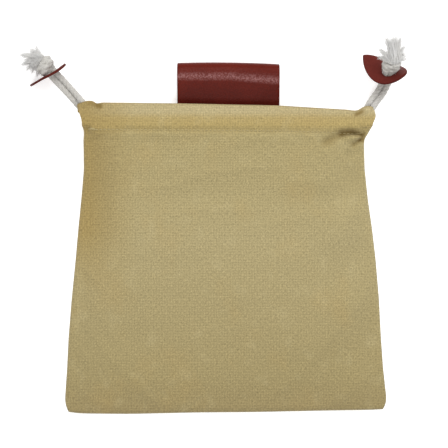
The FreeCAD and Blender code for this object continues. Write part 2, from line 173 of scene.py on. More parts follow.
def dress(piece, node, body=None):
    """Hide a node's CAD part in favour of a piece; the piece rides a body if one is given."""
    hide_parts(node)
    if body:
        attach(piece, body)
    return piece


def dress_parts(name, parts, material, node, body=None):
    return dress(make_mesh(name, *join_parts(parts), material), node, body)


# ---- materials


def feed(tree, socket, value):
    """Give an input a number, a colour or another node's output."""
    if isinstance(value, bpy.types.NodeSocket):
        tree.links.new(value, socket)
    else:
        socket.default_value = value


def add(tree, kind, inputs=None, **settings):
    """New shader node."""
    made = tree.nodes.new("ShaderNode" + kind)
    for name, value in settings.items():
        setattr(made, name, value)
    for name, value in (inputs or {}).items():
        feed(tree, made.inputs[name], value)
    return made


def linear(red, green, blue):
    """Linear colour from the 0 to 255 values that a screen shows."""
    shares = [value / 255 for value in (red, green, blue)]
    return (*(s / 12.92 if s <= 0.04045 else ((s + 0.055) / 1.055) ** 2.4 for s in shares), 1.0)


def new_material(name, settings):
    """Material whose Principled shader has these inputs, with its node tree and that shader."""
    material = bpy.data.materials.new(name)
    material.use_nodes = True
    shader = material.node_tree.nodes["Principled BSDF"]
    for key, value in settings.items():
        shader.inputs[key].default_value = value
    return material, material.node_tree, shader


def noise(tree, coords, stretch, detail=3.0, roughness=0.55):
    """Noise about 0.5 whose grains are 1/stretch metres long, on each axis if it is a tuple."""
    scale = stretch if isinstance(stretch, tuple) else (stretch,) * 3
    place = add(tree, "Mapping", {"Vector": coords, "Scale": scale})
    made = add(tree, "TexNoise", {
        "Vector": place.outputs["Vector"], "Scale": 1.0, "Detail": detail, "Roughness": roughness,
    })
    return made.outputs["Fac"]


def math_node(tree, operation, first, second=0.0, clamp=False):
    return add(tree, "Math", {0: first, 1: second}, operation=operation, use_clamp=clamp).outputs[0]


def times(tree, first, second):
    return math_node(tree, "MULTIPLY", first, second)


def ramp(tree, value, stops):
    """Colour ramp; the stops are (place, colour)."""
    made = add(tree, "ValToRGB", {"Fac": value})
    elements = made.color_ramp.elements
    elements[0].position, elements[0].color = stops[0]
    elements[1].position, elements[1].color = stops[-1]
    for place, colour in stops[1:-1]:
        elements.new(place).color = colour
    return made.outputs["Color"]


def mix(tree, share, first, second, blend="MIX"):
    """Colour between two colours; the node's other sockets are for other kinds of value."""
    inputs = {0: share, 6: first, 7: second}
    return add(tree, "Mix", inputs, data_type="RGBA", blend_type=blend).outputs[2]


def shaded(tree, colour, shade):
    """Colour multiplied by a grey value."""
    grey = add(tree, "CombineColor", {"Red": shade, "Green": shade, "Blue": shade})
    return mix(tree, 1.0, colour, grey.outputs["Color"], "MULTIPLY")


def map_range(tree, value, low, high, to_low=0.0, to_high=1.0):
    """Value that runs from to_low to to_high as the given one runs from low to high."""
    made = add(tree, "MapRange", {
        "Value": value, "From Min": low, "From Max": high, "To Min": to_low, "To Max": to_high,
    })
    return made.outputs["Result"]


def spots(tree, value, above, gain):
    """0 to 1 where a noise rises above a level."""
    risen = math_node(tree, "SUBTRACT", value, above)
    return math_node(tree, "MULTIPLY", risen, gain, clamp=True)


def surface(tree, shader, colour, layers):
    """Colour a shader, and chain bumps, each (height, strength, distance in millimetres)."""
    tree.links.new(colour, shader.inputs["Base Color"])
    normal = None
    for height, strength, distance in layers:
        inputs = {"Height": height, "Strength": strength, "Distance": distance * MM}
        if normal is not None:
            inputs["Normal"] = normal
        normal = add(tree, "Bump", inputs).outputs["Normal"]
    tree.links.new(normal, shader.inputs["Normal"])


THREAD_PITCH = 1.3


def canvas_material(name, tone):
    """Plain weave with slubs and an uneven khaki colour, with bands of painted light and shade
    across the casing and painted shade in the front's deep folds and along its edges; the cloth's
    own coordinates are metres.
    """
    material, tree, shader = new_material(name, {
        "Roughness": 0.92, "Sheen Weight": 0.10, "Specular IOR Level": 0.2,
    })

    def toned(red, green, blue):
        return linear(red * tone, green * tone, blue * tone)

    coords = add(tree, "UVMap", uv_map="cloth").outputs["UV"]
    split = add(tree, "SeparateXYZ", {"Vector": coords})
    across, up = split.outputs["X"], split.outputs["Y"]
    turns = math.pi / (THREAD_PITCH * MM)
    warp = math_node(tree, "SINE", times(tree, across, turns))
    weft = math_node(tree, "SINE", times(tree, up, turns))
    over = math_node(tree, "GREATER_THAN", times(tree, warp, weft))
    warp_height = times(tree, math_node(tree, "ABSOLUTE", warp), over)
    under = math_node(tree, "SUBTRACT", 1.0, over)
    weft_height = times(tree, math_node(tree, "ABSOLUTE", weft), under)
    weave = math_node(tree, "ADD", warp_height, weft_height)
    along_x = noise(tree, coords, (480, 1350, 1))
    along_y = noise(tree, coords, (1350, 440, 1))
    slubs = times(tree, math_node(tree, "ADD", along_x, along_y), 0.5)
    cloud = noise(tree, coords, (24, 17, 1), detail=4.0)
    patches = noise(tree, coords, (70, 55, 1), detail=2.0)
    # darker towards the bottom; a golden band of painted shade just above the casing's stitch line,
    # and a paler band of painted light on the casing over the cords
    tone_and_painted_bands = ramp(tree, map_range(tree, up, 0.0, 0.26), [
        (0.0, toned(151, 135, 94)), (0.12, toned(158, 143, 100)), (0.55, toned(168, 154, 112)),
        (0.88, toned(168, 153, 108)), (0.91, toned(171, 151, 98)), (0.932, toned(172, 152, 101)),
        (0.95, toned(177, 162, 121)),
    ])
    golden, pale = toned(172, 146, 92), toned(188, 175, 133)
    upper_left_tone, painted_shade_colour = toned(158, 136, 84), toned(122, 100, 52)
    cloth_colour = mix(tree, spots(tree, cloud, 0.52, 1.3), tone_and_painted_bands, golden)
    cloth_colour = mix(tree, spots(tree, patches, 0.55, 1.2), cloth_colour, pale)
    # darker along the left edge of the bag's upper half
    near_left = map_range(tree, across, -0.072, -0.113, to_high=0.85)
    high_up = map_range(tree, up, 0.10, 0.15)
    cloth_colour = mix(tree, times(tree, near_left, high_up), cloth_colour, upper_left_tone)
    contrast = map_range(tree, slubs, 0.36, 0.64, 0.72, 1.23)
    groove = map_range(tree, weave, 0.0, 1.0, 0.74, 1.12)
    woven = shaded(tree, cloth_colour, times(tree, contrast, groove))
    # painted shade in the front's deep folds, along its side edges and over its mouth's fold
    painted_shade = add(tree, "Attribute", attribute_name="painted_shade").outputs["Fac"]
    colour = mix(tree, times(tree, painted_shade, 0.85), woven, painted_shade_colour)
    surface(tree, shader, colour, [(slubs, 0.5, 0.5), (weave, 0.55, 0.3)])
    return material


def painted_roll_light(tree, coords, colour):
    """Leather of a roll: painted shade low down, towards the bag, and a painted highlight in a
    grainy line along the top of the roll.
    """
    split = add(tree, "SeparateXYZ", {"Vector": coords})
    across, up = split.outputs["X"], split.outputs["Y"]
    # painted shade: darker low down, towards the bag's edge
    colour = shaded(tree, colour, map_range(tree, up, 0.108, 0.131, 0.66, 1.0))
    sag = map_range(tree, across, 0.004, 0.042, to_high=0.0034)
    black, grey = (0.0, 0.0, 0.0, 1.0), (0.52, 0.52, 0.52, 1.0)
    # painted highlight: a pale grainy band along the top of the roll, dipping a little towards one
    # end
    highlight_band = ramp(tree, math_node(tree, "ADD", up, sag), [
        (0.1293, black), (0.1324, grey), (0.1338, grey), (0.1372, black),
    ])
    highlight_speckle = map_range(tree, noise(tree, coords, 850, detail=1.0), 0.42, 0.60, 0.25, 1.0)
    return mix(tree, times(tree, highlight_band, highlight_speckle), colour, linear(178, 130, 128))


def leather_material(name, dark, light, cells, roughness, with_roll_light=False):
    """Grained, lightly waxed leather with burnished edges."""
    material, tree, shader = new_material(name, {"Specular IOR Level": 0.04})
    coords = add(tree, "TexCoord").outputs["Object"]
    place = add(tree, "Mapping", {"Vector": coords, "Scale": (cells,) * 3})
    voronoi = add(tree, "TexVoronoi", {
        "Vector": place.outputs["Vector"], "Scale": 1.0, "Randomness": 1.0,
    })
    pores = voronoi.outputs["Distance"]
    fine = noise(tree, coords, 2600, detail=2.0)
    cloud = noise(tree, coords, 45, detail=4.0)
    colour = mix(tree, cloud, dark, light)
    colour = shaded(tree, colour, map_range(tree, pores, 0.0, 0.7, 1.08, 0.80))
    # the belt loop's roll gets painted shade low down and a painted highlight along its top
    if with_roll_light:
        colour = painted_roll_light(tree, coords, colour)
    edge = map_range(tree, add(tree, "NewGeometry").outputs["Pointiness"], 0.53, 0.60)
    burnished = (dark[0] * 0.45, dark[1] * 0.45, dark[2] * 0.45, 1.0)
    colour = mix(tree, edge, colour, burnished)
    gloss = map_range(tree, fine, 0.3, 0.7, roughness - 0.07, roughness + 0.1)
    tree.links.new(gloss, shader.inputs["Roughness"])
    surface(tree, shader, colour, [(cloud, 0.25, 0.6), (pores, 0.55, 0.16), (fine, 0.4, 0.05)])
    return material


def cotton_material(name, colour, fibre):
    """Soft undyed cotton; the fibres show as fine streaks."""
    material, tree, shader = new_material(name, {"Roughness": 0.95, "Sheen Weight": 0.3})
    coords = add(tree, "TexCoord").outputs["Object"]
    streaks = noise(tree, coords, fibre, detail=5.0, roughness=0.7)
    soft = noise(tree, coords, 160, detail=2.0)
    warm = mix(tree, soft, colour, (colour[0] * 0.93, colour[1] * 0.91, colour[2] * 0.86, 1.0))
    streaked = shaded(tree, warm, map_range(tree, streaks, 0.36, 0.66, 0.72, 1.12))
    surface(tree, shader, streaked, [(streaks, 0.6, 0.25)])
    return material


def thread_material(name, colour):
    material, tree, shader = new_material(name, {"Roughness": 0.7})
    coords = add(tree, "TexCoord").outputs["Object"]
    plies = noise(tree, coords, 3000)
    dark = (*(c * 0.7 for c in colour[:3]), 1.0)
    surface(tree, shader, mix(tree, plies, colour, dark), [(plies, 0.5, 0.1)])
    return material


def brass_material(name):
    material, tree, shader = new_material(name, {"Roughness": 0.32, "Metallic": 1.0})
    coords = add(tree, "TexCoord").outputs["Object"]
    tarnish = noise(tree, coords, 420, detail=5.0)
    colour = ramp(tree, tarnish, [(0.35, (0.50, 0.33, 0.14, 1.0)), (0.7, (0.24, 0.15, 0.07, 1.0))])
    surface(tree, shader, colour, [(tarnish, 0.2, 0.05)])
    return material


CANVAS = canvas_material("canvas", 1.0)
CANVAS_INSIDE = canvas_material("canvas_inside", 0.93)
# the belt loop's leather carries painted shade and a painted highlight on its roll
LEATHER = leather_material("leather", linear(84, 25, 17), linear(106, 35, 25), 850, 0.33, True)
STOP_LEATHER = leather_material("stop_leather", linear(84, 32, 27), linear(108, 44, 37), 1100, 0.45)
COTTON = cotton_material("cotton_cord", linear(196, 194, 190), 1150)
# the frayed yarns get a paler copy of the cord's cotton: painted light, to make up for the shade on
# the thin yarns
FRAY = cotton_material("cotton_fray", linear(236, 236, 236), 1500)
THREAD = thread_material("thread", linear(186, 170, 122))
LEATHER_THREAD = thread_material("leather_thread", linear(92, 52, 40))
BRASS = brass_material("brass")

# ---- camera, light and floor

PHOTO_CENTRE = (-1.6, 11.9)
VIEW_WIDTH = 367.4  # at CLOTH_LEVEL over the table
CLOTH_LEVEL = 14.0
LENS = 100.0
SENSOR = 36.0
WHITE = (1.0, 1.0, 1.0, 1.0)
TENT_LIGHT = 0.62
TABLE_GREY = (0.9, 0.9, 0.9, 1.0)
TABLE_GLOW = 0.42
TABLE_HALF = 4000.0
TABLE_Z = -0.05


def set_camera():
    data = bpy.data.cameras.new("camera")
    data.lens = LENS
    data.sensor_width = SENSOR
    data.clip_end = 20.0
    height = VIEW_WIDTH * LENS / SENSOR + CLOTH_LEVEL
    scene.camera = add_object("camera", data)
    scene.camera.location = metres(*PHOTO_CENTRE, height)


def area_light(name, azimuth, elevation, distance, side, power):
    """Square light that points at the origin; its distance and side are metres."""
    data = bpy.data.lights.new(name, "AREA")
    data.shape = "SQUARE"
    data.size = side
    data.energy = power
    light = add_object(name, data)
    outward = direction(azimuth, elevation)
    light.location = outward * distance
    light.rotation_euler = outward.to_track_quat("Z", "Y").to_euler()


def set_light():
    world = bpy.data.worlds.new("studio")
    world.use_nodes = True
    background = world.node_tree.nodes["Background"]
    background.inputs["Color"].default_value = WHITE
    background.inputs["Strength"].default_value = TENT_LIGHT
    scene.world = world
    area_light("key_light", 75, 52, 1.6, 1.1, 15.0)
    area_light("top_light", 265, 74, 1.5, 0.40, 5.6)
    scene.view_settings.view_transform = "Standard"


def lay_floor():
    """White table: it glows a little, as a table lit from below in a photographer's light tent."""
    material, _, _ = new_material("white_table", {
        "Roughness": 0.9, "Base Color": TABLE_GREY,
        "Emission Color": WHITE, "Emission Strength": TABLE_GLOW,
    })
    signs = ((-1, -1), (1, -1), (1, 1), (-1, 1))
    corners = [(x * TABLE_HALF, y * TABLE_HALF, TABLE_Z) for x, y in signs]
    make_mesh("floor", corners, [(0, 1, 2, 3)], material)


set_camera()
set_light()
lay_floor()

# ---- cotton cords

PLY_TURN = 13.0  # length of one full turn of the rope's three plies
PLY_RADIUS = 1.72
HELD_PLY_RADIUS = 1.25  # the casing squeezes the cord
PLY_OFFSET = 0.92  # from the middle of the rope to the middle of a ply
LINE_STEP = 0.8


def centreline(points):
    """Evenly spaced points of the NURBS curve that has the route's points as control points."""
    data = bpy.data.curves.new("route", "CURVE")
    data.dimensions = "3D"
    spline = data.splines.new("NURBS")
    spline.points.add(len(points) - 1)
    for control, point in zip(spline.points, points):
        control.co = (*metres(*point), 1.0)
    spline.order_u = 3
    spline.use_endpoint_u = True
    spline.resolution_u = 24
    carrier = add_object("route", data)
    mesh = bpy.data.meshes.new_from_object(carrier)
    read = np.array([v.co / MM for v in mesh.vertices])
    bpy.data.objects.remove(carrier)
    bpy.data.curves.remove(data)
    bpy.data.meshes.remove(mesh)
    from_start = np.linalg.norm(read - np.array(points[0]), axis=1)
    if from_start[0] > from_start[-1]:
        read = read[::-1]
    travelled = np.concatenate([[0], np.cumsum(np.linalg.norm(np.diff(read, axis=0), axis=1))])
    count = max(4, int(travelled[-1] / LINE_STEP))
    places = np.linspace(0, travelled[-1], count)
    return np.stack([np.interp(places, travelled, read[:, axis]) for axis in range(3)], axis=1)


def twisted(line, phase, radius=PLY_RADIUS, offset=PLY_OFFSET, turn=PLY_TURN, sides=7):
    """Three plies laid round a line, as parts for join_parts."""
    along = frames(line)
    travelled = [0.0]
    for (before, _, _), (centre, _, _) in zip(along, along[1:]):
        travelled.append(travelled[-1] + (centre - before).length)
    parts = []
    for ply in range(3):
        ply_line, radii = [], []
        for (centre, side, other), distance in zip(along, travelled):
            angle = phase + 2 * math.pi * (distance / turn + ply / 3)
            ply_line.append(centre + (side * math.cos(angle) + other * math.sin(angle)) * offset)
            radii.append(radius * (1 + 0.05 * math.sin(distance * 1.9 + ply * 2.1)))
        parts.append(tube(ply_line, radii, sides))
    return parts


def fibres(line, count, length, seed, radius=0.055, away=2.2):
    """Loose fibre ends that stand out of a cord, as parts for join_parts."""
    chance = random.Random(seed)
    parts = []
    for _ in range(count):
        k = chance.randrange(len(line) - 1)
        centre = Vector(line[k]).lerp(Vector(line[k + 1]), chance.random())
        tangent = (Vector(line[k + 1]) - Vector(line[k])).normalized()
        out = tangent.orthogonal().normalized()
        out.rotate(Matrix.Rotation(chance.uniform(0, 2 * math.pi), 3, tangent))
        heading = (out + tangent * chance.uniform(-1.4, 1.4)).normalized()
        curl = Vector([chance.uniform(-1, 1) for _ in range(3)]) * 0.5
        point = centre + out * away * 0.9
        fibre = [point]
        reach = length * chance.uniform(0.5, 1.3)
        for _ in range(4):
            heading = (heading + curl * 0.45).normalized()
            point = point + heading * reach / 4
            fibre.append(point)
        parts.append(tube(fibre, [radius * share for share in (1.0, 1.0, 0.9, 0.7, 0.3)], 3))
    return parts


FRONT_LANE_Z = 23.6  # heights of the cord in the front and the back casing
BACK_LANE_Z = 12.9
LANES = (("front", FRONT_LANE_Z, 1), ("back", BACK_LANE_Z, -1))
LANE_MID_Z = 18.25
TUNNEL_END = 107.0  # the casings end here, and the strands leave them
LEAVE_RUN = 2.6  # from there to the line about which the strands swing
PIVOT_X = 109.6
TAIL_END = 47.0  # the tails that slide out meet the bight here
TURN_X = 102.3  # far end of the bight
BEND = 6.0  # a bight's round end takes up this much of its run
BEND_DROP = 2.5
STRAND_HALF = 2.4  # from the middle between two strands to the middle of one
STOP_TO_KNOT = 1.5


class Pull:
    """One pair of strands outside the bag: its pivot, its stop, and the places between them.

    face and leaf are (azimuth, elevation) of the stop's normal and of its point. mids holds
    (how far apart, middle, how much of the height between the casings is left) along the strands,
    and lead is how far before the stop they come into line with it.
    """

    def __init__(self, side, sign, lane_y, stop, along, face, leaf, mids, lead):
        self.side = side
        self.sign = sign
        self.pivot = Vector((sign * PIVOT_X, lane_y, LANE_MID_Z))
        self.stop = Vector(stop)
        self.along = direction(*along)
        run = self.stop - self.pivot
        self.beside = Vector((run.y, -run.x, 0)).normalized()
        self.square = (self.beside - self.along * self.beside.dot(self.along)).normalized()
        self.face = direction(*face)
        self.leaf = direction(*leaf)
        self.mids = mids + [(1.0, self.stop - self.along * lead, 0.0)]

    def strand_points(self, lane_z, sign):
        """Route of one strand, from the casing's end to the knot."""
        points = [(self.pivot.x - self.sign * LEAVE_RUN, self.pivot.y, lane_z),
                  (self.pivot.x, self.pivot.y, lane_z)]
        for share, middle, height_share in self.mids:
            aside = self.beside * (sign * share * STRAND_HALF)
            lift = Vector((0, 0, (lane_z - LANE_MID_Z) * height_share))
            points.append(Vector(middle) + aside + lift)
        points.append(self.stop + self.along * STOP_TO_KNOT + self.square * (sign * STRAND_HALF))
        return [tuple(p) for p in points]


LEFT = Pull("left", -1, 100.35, (-141.8, 135.2, 18.9), (133.5, -1.0), (120.5, 9.9), (30.5, 38.0),
            [(1.0, (-116.8, 107.6, 17.4), 0.55)], 23.0)
RIGHT = Pull("right", 1, 95.15, (133.0, 135.8, 21.5), (78.0, 52.0), (101.9, 44.0), (-26.6, 32.8),
             [(0.7, (115.2, 103.0, 17.4), 0.55), (1.0, (121.2, 112.6, 13.2), 0.0),
              (1.0, (127.4, 120.4, 10.2), 0.0)], 11.0)


def cord_piece(node, line, phase, body=None, radius=PLY_RADIUS, fuzz=0):
    """Rope along a line, in place of that node; fuzz is how many loose fibres it has."""
    name = node.replace("drawstring_", "") + "_rope"
    parts = twisted(line, phase, radius=radius)
    parts += fibres(line, fuzz, 1.5, seed=len(name) + fuzz)
    return dress_parts(name, parts, COTTON, node, body)


def held_cord(pull):
    """The part of each cord that lies inside the casings: its bight and its two tails."""
    join = pull.sign * TAIL_END
    turn = -pull.sign * TURN_X
    side, lane_y = pull.side, pull.pivot.y
    straight = turn + pull.sign * BEND
    bight = [(join, lane_y, FRONT_LANE_Z), (straight, lane_y, FRONT_LANE_Z),
             (turn, lane_y, FRONT_LANE_Z - BEND_DROP), (turn, lane_y, BACK_LANE_Z + BEND_DROP),
             (straight, lane_y, BACK_LANE_Z), (join, lane_y, BACK_LANE_Z)]
    cord_piece(side + "_drawstring_bight", centreline(bight), 0.4, "pouch", HELD_PLY_RADIUS)
    for face, lane_z, _ in LANES:
        tail = [(pull.sign * TUNNEL_END, lane_y, lane_z), (join, lane_y, lane_z)]
        node = "%s_%s_tail" % (side, face)
        cord_piece(node, centreline(tail), 1.1, side + "_draw", HELD_PLY_RADIUS)


def free_strands(pull):
    """The two strands outside the bag. They bend where they leave the casing."""
    made = []
    for face, lane_z, sign in LANES:
        line = centreline(pull.strand_points(lane_z, sign))
        node = "%s_%s_strand" % (pull.side, face)
        piece = cord_piece(node, line, 0.9 if sign > 0 else 2.3, fuzz=110)
        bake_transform(piece)
        made.append((piece, line))
    return made


def place_on(pull, points, origin, normal):
    """Local points (x along the leaf, z along the normal) in the part's frame."""
    across = normal.cross(pull.leaf).normalized()
    along = across.cross(normal).normalized()
    return [origin + along * p[0] + across * p[1] + normal * p[2] for p in points]


KNOT_HALF = 6.5
KNOT_TURNS = 2.45
KNOT_STEPS = 120


def knot(pull, bulk):
    """The cord's two strands wound round themselves and pulled tight; bulk is how thick it is."""
    centre = pull.stop + pull.along * (STOP_TO_KNOT + KNOT_HALF - 0.3)
    rope = []
    for k in range(KNOT_STEPS + 1):
        share = k / KNOT_STEPS
        turn = 2 * math.pi * KNOT_TURNS * share + 0.6
        tuck = smoothstep(0, 0.07, share) * (1 - smoothstep(0.93, 1.0, share))
        out = 1.6 + 2.9 * bulk * tuck + 0.65 * math.sin(3 * turn + 1) + 0.3 * math.sin(7.3 * turn)
        up = -4.3 + 8.4 * share + 0.7 * math.sin(turn + 0.8)
        rope.append((out * math.cos(turn), out * math.sin(turn), up))
    laid = place_on(pull, rope, centre, pull.along)
    parts = twisted(laid, 0.3, radius=1.95 * bulk, offset=1.25, turn=17.0, sides=9)
    over = [(-3.6, -3.2, -4.6), (-4.9, -3.6, -1.0), (-5.0, -2.4, 2.2),
            (-3.2, -1.2, 5.4), (-0.8, 0.0, 7.4)]
    parts += twisted(place_on(pull, over, centre, pull.along), 1.0, radius=1.5, offset=1.0)
    core = [centre + pull.along * d for d in (-6.6, -4, 0, 4, 6.6)]
    parts.append(tube(core, [2.4, 3.4, 3.8, 3.6, 3.0], 12))
    parts += fibres([tuple(p) for p in laid], 620, 2.2, seed=41 + pull.sign, radius=0.06, away=3.0)
    node = pull.side + "_knot"
    return dress_parts(node + "_rope", parts, COTTON, node, pull.side + "_pull")


YARNS = 950
YARN_TAPER = (1.0, 1.0, 1.0, 0.95, 0.9, 0.8, 0.6)
YARN_TIP = 0.05


def tassel(pull, tufts):
    """Frayed end: yarns that fan out from the knot. tufts are (tip, weight, spread)."""
    chance = random.Random(7 + pull.sign)
    root = pull.stop + pull.along * (STOP_TO_KNOT + 2 * KNOT_HALF - 2.4)
    parts = []
    weights = [tuft[1] for tuft in tufts]
    for _ in range(YARNS):
        tip, _, spread = chance.choices(tufts, weights)[0]
        side = Vector([chance.gauss(0, 1) for _ in range(3)])
        side -= pull.along * side.dot(pull.along)
        start = root + side * 1.6
        end = Vector(tip) + Vector([chance.gauss(0, spread) for _ in range(3)])
        end = start.lerp(end, chance.triangular(0.25, 1.14, 1.0))
        reach = (end - start).length
        first = start + pull.along * reach * 0.34 + side * 0.7
        wave = Vector([chance.uniform(-1, 1) for _ in range(3)])
        yarn = []
        for k in range(len(YARN_TAPER) + 1):
            share = k / len(YARN_TAPER)
            point = start * (1 - share) ** 2 + first * 2 * share * (1 - share) + end * share**2
            yarn.append(point + wave * math.sin(share * 7.0 + side.x) * 0.9 * share)
        thick = chance.uniform(0.10, 0.28)
        parts.append(tube(yarn, [*(thick * share for share in YARN_TAPER), YARN_TIP], 4))
    node = pull.side + "_tassel"
    return dress_parts(node + "_fray", parts, FRAY, node, pull.side + "_pull")


def leaf_outline():
    """The stop's edge: a long round end and two arcs that meet in a point."""
    half, tip, middle, round_end = 13.4, 27.0, -4.5, 18.6
    drop = ((tip + middle) ** 2 - half**2) / (2 * half)
    long_radius = half + drop
    sweep = math.asin((tip + middle) / long_radius)
    third = 32

    def side(angle, sign):
        aside = sign * (long_radius * math.cos(angle) - drop)
        return middle - long_radius * math.sin(angle), aside

    edge = [side(sweep - sweep * k / third, 1) for k in range(third)]
    for k in range(third):
        angle = math.pi / 2 - math.pi * k / third
        edge.append((middle + round_end * math.cos(angle), half * math.sin(angle)))
    return edge + [side(sweep * k / third, -1) for k in range(third)]


def leaf_stop(pull, cup, curl, twist, shift):
    """Leather stop with three slight bends; shift is how far its edge is moved along the leaf."""
    edge = [(x + shift, y) for x, y in leaf_outline()]
    rings, hole = 12, 5.6
    points = []
    for ring in range(rings):
        share = ring / (rings - 1)
        for x, y in edge:
            out = math.hypot(x, y)
            inner = (x / out * hole, y / out * hole)
            px = inner[0] + (x - inner[0]) * share
            py = inner[1] + (y - inner[1]) * share
            dent = -0.4 * math.exp(-((math.hypot(px, py) - hole) / 2.6) ** 2)
            bent = cup * py * py + curl * px * px + twist * py * max(px, 0.0)
            points.append((px, py, bent + dent))
    placed = place_on(pull, points, pull.stop, pull.face)
    faces = grid_faces(rings, len(edge), wrapped=True)
    piece = make_mesh(pull.side + "_leaf_stop", placed, faces, STOP_LEATHER)
    thicken(piece, 1.9, bevel=0.45)
    return dress(piece, pull.side + "_stop", pull.side + "_cord_stop")


TUFTS = {
    "left": [
        ((-167.6, 150.2, 15.0), 1.2, 1.2), ((-168.0, 142.6, 12.0), 1.2, 1.3),
        ((-154.6, 158.0, 19.0), 0.9, 0.9), ((-159.2, 154.6, 22.0), 1.4, 1.8),
        ((-163.0, 138.6, 13.0), 0.9, 1.2), ((-159.4, 136.2, 12.0), 0.8, 1.2),
        ((-154.8, 132.6, 12.0), 0.5, 1.0), ((-165.5, 147.0, 24.0), 1.2, 2.4),
        ((-151.4, 149.6, 24.0), 0.8, 1.8), ((-158.0, 145.0, 29.0), 1.2, 3.0),
    ],
    "right": [
        ((127.4, 160.4, 41.0), 1.6, 0.9), ((139.4, 160.4, 41.0), 1.6, 1.0),
        ((133.2, 160.6, 42.5), 3.0, 1.8), ((121.8, 152.5, 35.0), 1.3, 0.9),
        ((143.6, 154.6, 36.0), 1.3, 0.9), ((146.2, 145.2, 31.0), 1.2, 1.0),
        ((123.0, 146.0, 32.0), 1.2, 1.0), ((145.0, 149.6, 34.0), 0.8, 1.0),
    ],
}

# Each side's knot bulk, and the cup, curl, twist and shift of its stop.
SHAPES = (
    (LEFT, 1.0, 0.0, 0.0, 0.009, 0.0),
    (RIGHT, 0.83, -0.018, 0.011, 0.0, 1.3),
)
for pull, bulk, cup, curl, twist, shift in SHAPES:
    held_cord(pull)
    strands = free_strands(pull)
    knotted = knot(pull, bulk)
    frayed = tassel(pull, TUFTS[pull.side])
    stop_piece = leaf_stop(pull, cup, curl, twist, shift)

# ---- canvas

CLOTH = 0.9
HEM_Y = -144.5
MOUTH_Y = 108.0
SEAM_TOP_Y = 87.5  # the side seams end here and the casings begin
STITCH_Y = 88.2
LIP = 2.4  # rise and width of the rounded edge of the front
OPEN_FRONT_Z = 26.5  # the casings' outer walls stay clear of the cords
OPEN_BACK_Z = 10.1

LEFT_EDGE = Line([
    (-144.5, -130.2), (-141, -132.0), (-137.5, -132.8), (-134, -133.1), (-109, -131.4),
    (-84, -130.2), (-51, -127.6), (-18, -124.3), (7, -122.1), (32, -119.6), (57, -116.6),
    (80, -116.2), (85.5, -115.4), (89, -116.2), (96.4, -117.1), (99.6, -118.3), (103, -119.3),
    (108, -120.8),
], 1.2)
RIGHT_EDGE = Line([
    (-144.5, 130.2), (-141, 131.9), (-137.5, 132.7), (-134, 132.6), (-109, 129.9), (-84, 128.2),
    (-51, 126.5), (-18, 123.7), (7, 120.8), (32, 117.3), (57, 113.9), (78, 112.6), (82.4, 112.8),
    (85.7, 115.2), (91.5, 118.0), (96.4, 119.6), (99.6, 120.9), (103, 121.5), (108, 119.4),
], 1.2)
BOTTOM_EDGE = Line([
    (-133, -143.4), (-122, -145.0), (-80, -145.4), (-26, -144.2), (24, -143.8), (77, -142.7),
    (122, -142.0), (133, -141.2),
], 5.0)
TOP_EDGE = Line([
    (-122, 107.4), (-114, 110.2), (-108, 110.4), (-105.5, 107.8), (-101, 108.9), (-39, 108.2),
    (42, 106.5), (98, 103.1), (104, 102.3), (107.5, 102.6), (111, 105.2), (116, 106.6),
    (122, 104.4),
], 1.2)
SEAM_Z = Line([
    (HEM_Y, 1.3), (34, 1.6), (53, 7.5), (73, 13.0), (84, 17.5), (90, 18.8), (108, 18.8),
], 5.0)
CROWN_Z = Line([
    (HEM_Y, 3.0), (-140, 4.8), (-133, 6.2), (-118, 8.4), (34, 13.4), (53, 17.6), (73, 21.8),
    (84, 24.4), (92, 25.8), (108, 26.0),
], 4.0)
BACK_Z = Line([
    (HEM_Y, 0.5), (30, 0.5), (40, 1.4), (50, 5.2), (56, 6.3), (73, 6.3), (86, 9.6), (90, 10.3),
    (108, 10.3),
], 1.6)


def bag_xy(across, nominal):
    """Place in the plane of the bag of the point at that share of the width and nominal height."""
    x = LEFT_EDGE(nominal) + (RIGHT_EDGE(nominal) - LEFT_EDGE(nominal)) * across
    up = (nominal - HEM_Y) / (MOUTH_Y - HEM_Y)
    y = nominal + (1 - up) * (BOTTOM_EDGE(x) - HEM_Y) + up**8 * (TOP_EDGE(x) - MOUTH_Y)
    return x, y


def ridge(x, y, start, end, width, height):
    """A soft fold that runs from start to end and dies away on both sides and at its tips."""
    ax, ay = start
    dx, dy = end[0] - ax, end[1] - ay
    share = ((x - ax) * dx + (y - ay) * dy) / (dx * dx + dy * dy)
    near = np.clip(share, 0, 1)
    off = np.hypot(x - ax - near * dx, y - ay - near * dy)
    fade = smoothstep(-0.25, 0.3, share) * (1 - smoothstep(0.7, 1.25, share))
    return height * np.exp(-0.5 * (off / width) ** 2) * fade


# Folds and dents of the front, each (start, end, half width, height) in millimetres.
FOLDS = [
    ((114, 84.0), (102, 87.0), 1.6, -5.6), ((103, 87.0), (92, 85.4), 2.0, -4.8),
    ((95, 85.4), (78, 76.5), 2.8, -3.2), ((111, 90.5), (92, 91.5), 2.6, 1.4),
    ((111, 84.0), (98, 81.0), 1.6, 2.6), ((114, 81.0), (107.5, 80.2), 1.2, -4.4),
    ((108, 80.2), (102.5, 75.4), 1.8, -3.0), ((109, 73), (98, 66), 3.0, -1.4),
    ((112, 34), (82, -6), 9.0, 3.0),
    ((100, 60), (88, 22), 8.0, -1.9), ((116, -4), (92, -40), 9.0, -2.4),
    ((104, -46), (58, -104), 12.0, 2.3), ((122, -66), (86, -122), 11.0, -1.9),
    ((-98, 66), (-104, -20), 8.0, -2.2), ((-84, 40), (-88, -60), 13.0, 1.4),
    ((-60, 84), (-48, 60), 7.0, -0.9), ((-104, -90), (-60, -128), 10.0, 1.4),
    ((20, -20), (34, -110), 16.0, 1.1), ((-112, 110.6), (-101.5, 107.6), 1.6, -3.6),
    ((103.8, 99.9), (112.0, 103.7), 1.3, -4.6), ((-105, 108.6), (-100.5, 106.3), 1.3, -4.8),
]
DEEP = -2.4  # folds deeper than this get painted shade inside
